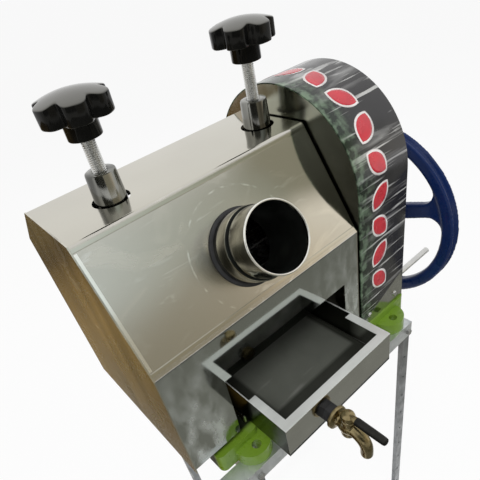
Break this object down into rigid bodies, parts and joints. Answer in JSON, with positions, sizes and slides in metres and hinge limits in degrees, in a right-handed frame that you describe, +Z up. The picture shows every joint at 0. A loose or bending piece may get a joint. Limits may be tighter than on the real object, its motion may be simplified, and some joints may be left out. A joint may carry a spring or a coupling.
{
  "type": "sugarcane juicer",
  "caption": "Upright sugarcane juicer: geared rollers under a folded steel hood with a feed tube, press screws, guarded hand wheel drive, juice tray with tap, angle stand.",
  "frame": {"origin": "on the ground under the middle of the overall plan", "axes": "+X along the rollers towards the hand wheel, +Y to the back where crushed cane leaves, +Z up"},
  "size_m": [0.55, 0.4378, 1.0376],
  "materials": {
    "green_casting": "gloss lime green paint on cast iron",
    "blue_casting": "gloss navy paint on cast iron",
    "polished_sheet": "mirror-polished stainless sheet",
    "guard_sheet": "stainless sheet with a printed charcoal film",
    "machined_steel": "turned",
    "gear_iron": "machined, oiled",
    "bronze": "plain bearing bronze",
    "galvanised_angle": "galvanised",
    "black_gloss": "gloss black moulding",
    "black_rubber": "matt black",
    "brass": "cast and polished",
    "zinc_fastener": "zinc plated",
    "black_sleeve": "dipped sleeve"
  },
  "bodies": {
    "mill": {"left_frame": "green_casting", "right_frame": "green_casting", "tie_rods": "machined_steel", "tie_nuts": "zinc_fastener", "trash_plate": "machined_steel", "bearing_bushes": "bronze", "left_screw_bushing": "machined_steel", "right_screw_bushing": "machined_steel", "hood_front_panel": "polished_sheet", "hood_slant_panel": "polished_sheet", "hood_top_panel": "polished_sheet", "hood_back_slope": "polished_sheet", "hood_back_panel": "polished_sheet", "hood_left_plate": "polished_sheet", "hood_right_plate": "polished_sheet", "feed_gasket": "black_rubber", "feed_collar": "polished_sheet", "feed_tube": "polished_sheet", "guard_band": "guard_sheet", "guard_inner_plate": "polished_sheet", "guard_outer_plate": "polished_sheet", "cover_screws": "zinc_fastener", "tray_runners": "machined_steel", "bagasse_chute": "polished_sheet", "stand_front_rail": "galvanised_angle", "stand_back_rail": "galvanised_angle", "stand_side_rails": "galvanised_angle", "lower_rails": "galvanised_angle", "left_front_leg": "galvanised_angle", "right_front_leg": "galvanised_angle", "left_back_leg": "galvanised_angle", "right_back_leg": "galvanised_angle", "stand_bolts": "zinc_fastener", "leg_feet": "black_rubber"},
    "top_carriage": {"left_bearing_block": "bronze", "right_bearing_block": "bronze"},
    "top_roll": {"top_roller": "machined_steel", "top_timing_gear": "gear_iron", "drive_gear": "gear_iron", "drive_gear_nut": "zinc_fastener"},
    "front_roll": {"front_roller": "machined_steel", "front_timing_gear": "gear_iron"},
    "rear_roll": {"rear_roller": "machined_steel", "rear_timing_gear": "gear_iron"},
    "wheel": {"hand_wheel": "blue_casting", "wheel_shaft": "machined_steel", "drive_pinion": "gear_iron", "wheel_nut": "zinc_fastener", "crank_rod": "machined_steel"},
    "left_screw": {"left_press_screw": "machined_steel", "left_knob": "black_gloss"},
    "right_screw": {"right_press_screw": "machined_steel", "right_knob": "black_gloss"},
    "tray": {"juice_tray": "polished_sheet", "tap_locknut": "brass", "tap_washer": "black_rubber", "tap_body": "brass"},
    "tap_handle": {"tap_plug": "brass", "tap_lever": "brass", "lever_sleeve": "black_sleeve"}
  },
  "joints": [
    {"name": "wheel_spin", "type": "hinge", "parent": "mill", "child": "wheel", "pos_m": [-0.125, 0.01862, 0.72958], "axis": [1, 0, 0], "continuous": true},
    {"name": "top_roller_lift", "type": "slide", "parent": "mill", "child": "top_carriage", "axis": [0, 0, 1], "range_m": [0, 0.0025]},
    {"name": "top_roller_spin", "type": "hinge", "parent": "top_carriage", "child": "top_roll", "pos_m": [-0.125, 0.05385, 0.838], "axis": [1, 0, 0], "continuous": true},
    {"name": "front_roller_spin", "type": "hinge", "parent": "mill", "child": "front_roll", "pos_m": [-0.125, 0.00885, 0.778], "axis": [1, 0, 0], "continuous": true},
    {"name": "rear_roller_spin", "type": "hinge", "parent": "mill", "child": "rear_roll", "pos_m": [-0.125, 0.09885, 0.778], "axis": [1, 0, 0], "continuous": true},
    {"name": "left_screw_turn", "type": "hinge", "parent": "top_carriage", "child": "left_screw", "pos_m": [-0.205, 0.05385, 0.9], "axis": [0, 0, 1], "range_deg": [0, 226]},
    {"name": "right_screw_turn", "type": "hinge", "parent": "top_carriage", "child": "right_screw", "pos_m": [-0.003, 0.05385, 0.9], "axis": [0, 0, 1], "range_deg": [0, 226]},
    {"name": "tray_slide", "type": "slide", "parent": "mill", "child": "tray", "axis": [0, -1, 0], "range_m": [0, 0.15]},
    {"name": "tap_turn", "type": "hinge", "parent": "tray", "child": "tap_handle", "pos_m": [-0.1294, -0.17045, 0.669], "axis": [0, 0, 1], "range_deg": [0, 90]}
  ],
  "couplings": [
    {"joint": "top_roller_spin", "follows": "wheel_spin", "ratio": -0.2459},
    {"joint": "front_roller_spin", "follows": "wheel_spin", "ratio": 0.2459},
    {"joint": "rear_roller_spin", "follows": "wheel_spin", "ratio": 0.2459},
    {"joint": "left_screw_turn", "follows": "top_roller_lift", "rad_per_m": 1570.8},
    {"joint": "right_screw_turn", "follows": "top_roller_lift", "rad_per_m": 1570.8}
  ]
}
